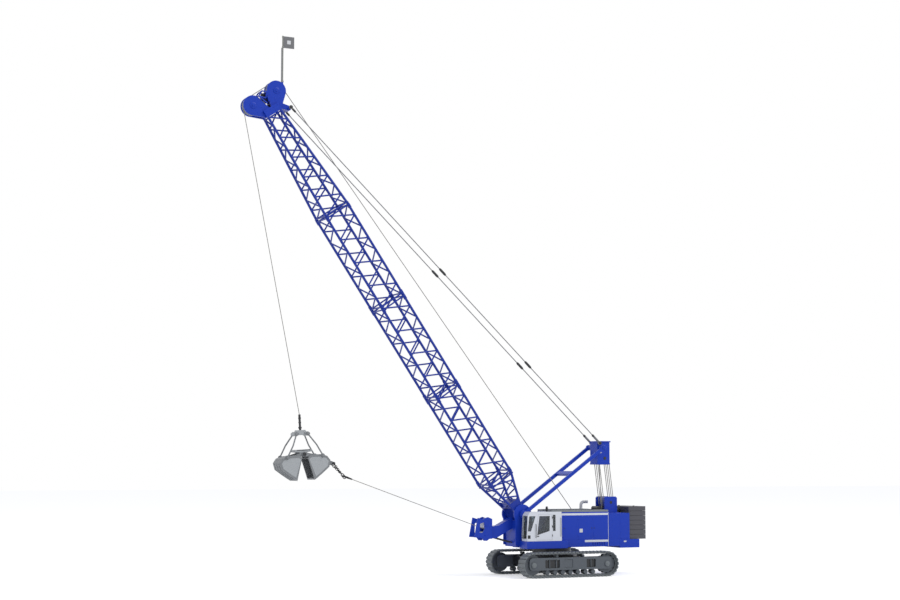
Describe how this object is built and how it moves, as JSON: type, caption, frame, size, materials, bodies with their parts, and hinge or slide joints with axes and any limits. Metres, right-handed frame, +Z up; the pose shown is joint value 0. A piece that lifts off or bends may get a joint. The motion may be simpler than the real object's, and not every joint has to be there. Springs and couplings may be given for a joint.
{
  "type": "crawler crane scale model with lattice boom and grab",
  "caption": "Scale model of a tracked crane: blue lattice boom on a slewing house with a white cab, hanging a grey two-shell grab on ropes.",
  "frame": {"origin": "on the slewing axis, on the flat underside of the carbody, 8 mm above the floor that the tracks stand on", "axes": "+X forward, where the boom points; +Y to the left, the cab's side; +Z up along the slewing axis"},
  "size_m": [0.5825, 0.114, 0.707],
  "materials": {
    "blue_paint": "gloss",
    "white_paint": "gloss",
    "grey_paint": "satin",
    "dark_paint": "satin",
    "weight_paint": "satin",
    "track_metal": "satin",
    "clear_plastic": "gloss",
    "black_plastic": "matte",
    "thread": "matte",
    "chain_metal": "satin",
    "flag_paint": "satin"
  },
  "bodies": {
    "undercarriage": {"carbody": "dark_paint", "slew_ring": "dark_paint", "crawler_frame_left": "track_metal", "crawler_frame_right": "track_metal", "track_left": "track_metal", "track_right": "track_metal", "sprockets": "track_metal", "idlers_and_rollers": "track_metal"},
    "superstructure": {"main_frame": "blue_paint", "pivot_pins": "dark_paint", "cab_console": "blue_paint", "cab_shell": "white_paint", "cab_windows": "clear_plastic", "cab_seat": "black_plastic", "roof_lamp": "black_plastic", "house_left": "blue_paint", "house_right": "blue_paint", "fuel_tank": "blue_paint", "roof_walkways": "grey_paint", "rear_block": "blue_paint", "counterweight": "weight_paint", "winch_drums": "grey_paint", "exhaust": "grey_paint", "lower_block": "blue_paint", "fairlead_arm": "blue_paint", "fairlead_frame": "blue_paint", "fairlead_sheaves": "grey_paint"},
    "a_frame": {"aframe_leg_left": "blue_paint", "aframe_leg_right": "blue_paint", "aframe_cross": "blue_paint", "aframe_head": "blue_paint", "upper_sheaves": "dark_paint"},
    "boom": {"boom_foot": "blue_paint", "boom_insert_1": "blue_paint", "boom_insert_2": "blue_paint", "boom_insert_3": "blue_paint", "boom_top": "blue_paint", "boom_head": "blue_paint", "head_sheaves": "grey_paint", "flag_mast": "white_paint", "flag_plate": "flag_paint", "pendants": "grey_paint"},
    "hoist_line": {"hoist_rope": "thread"},
    "grab": {"rope_socket": "dark_paint", "grab_crosshead": "grey_paint"},
    "grab_block": {"grab_block": "grey_paint"},
    "shell_front": {"grab_shell_front": "grey_paint"},
    "shell_rear": {"grab_shell_rear": "grey_paint"},
    "rods_front": {"grab_rods_front": "grey_paint"},
    "rods_rear": {"grab_rods_rear": "grey_paint"},
    "drag_line": {"drag_rope": "thread"},
    "drag_chain": {"drag_chains": "chain_metal"}
  },
  "joints": [
    {"name": "slew", "type": "hinge", "parent": "undercarriage", "child": "superstructure", "pos_m": [0, 0, 0.022], "axis": [0, 0, 1], "continuous": true},
    {"name": "boom_luff", "type": "hinge", "parent": "superstructure", "child": "boom", "pos_m": [0.054, 0, 0.0757], "axis": [0, -1, 0], "range_deg": [-15, 10]},
    {"name": "aframe_luff", "type": "hinge", "parent": "superstructure", "child": "a_frame", "pos_m": [0.054, 0, 0.0757], "axis": [0, -1, 0], "range_deg": [-15, 10]},
    {"name": "hoist_swing", "type": "hinge", "parent": "boom", "child": "hoist_line", "pos_m": [0.43655, 0, 0.60278], "axis": [0, -1, 0], "range_deg": [-1.41, 0.94]},
    {"name": "grab_level", "type": "hinge", "parent": "hoist_line", "child": "grab", "pos_m": [0.3672, 0, 0.2053], "axis": [0, -1, 0], "range_deg": [-10.94, 16.41]},
    {"name": "drag_swing", "type": "hinge", "parent": "superstructure", "child": "drag_line", "pos_m": [0.1035, 0, 0.061], "axis": [0, -1, 0], "range_deg": [-22.28, 14.86]},
    {"name": "block_slide", "type": "slide", "parent": "grab", "child": "grab_block", "axis": [0.061, 0, 0.9981], "range_m": [-0.00525, 0.00719]},
    {"name": "grab_open", "type": "hinge", "parent": "grab_block", "child": "shell_front", "pos_m": [0.36412, 0, 0.15499], "axis": [0, -1, 0], "range_deg": [-19.2, 14]},
    {"name": "shell_rear_swing", "type": "hinge", "parent": "grab_block", "child": "shell_rear", "pos_m": [0.36412, 0, 0.15499], "axis": [0, -1, 0], "range_deg": [-14, 19.2]},
    {"name": "rods_front_swing", "type": "hinge", "parent": "grab", "child": "rods_front", "pos_m": [0.3735, 0, 0.18047], "axis": [0, -1, 0], "range_deg": [-2.52, 1.84]},
    {"name": "rods_rear_swing", "type": "hinge", "parent": "grab", "child": "rods_rear", "pos_m": [0.35792, 0, 0.18142], "axis": [0, -1, 0], "range_deg": [-1.84, 2.52]},
    {"name": "chain_swing", "type": "hinge", "parent": "shell_rear", "child": "drag_chain", "pos_m": [0.32205, 0, 0.14354], "axis": [0, -1, 0], "range_deg": [-34.56, 25.2]}
  ],
  "couplings": [
    {"joint": "aframe_luff", "follows": "boom_luff", "ratio": 1},
    {"joint": "hoist_swing", "follows": "boom_luff", "ratio": 0.09346},
    {"joint": "grab_level", "follows": "boom_luff", "ratio": -1.0935},
    {"joint": "drag_swing", "follows": "boom_luff", "ratio": 1.4853},
    {"joint": "block_slide", "follows": "grab_open", "m_per_rad": -0.0214},
    {"joint": "shell_rear_swing", "follows": "grab_open", "ratio": -1},
    {"joint": "rods_front_swing", "follows": "grab_open", "ratio": 0.131},
    {"joint": "rods_rear_swing", "follows": "grab_open", "ratio": -0.131},
    {"joint": "chain_swing", "follows": "grab_open", "ratio": 1.8}
  ]
}
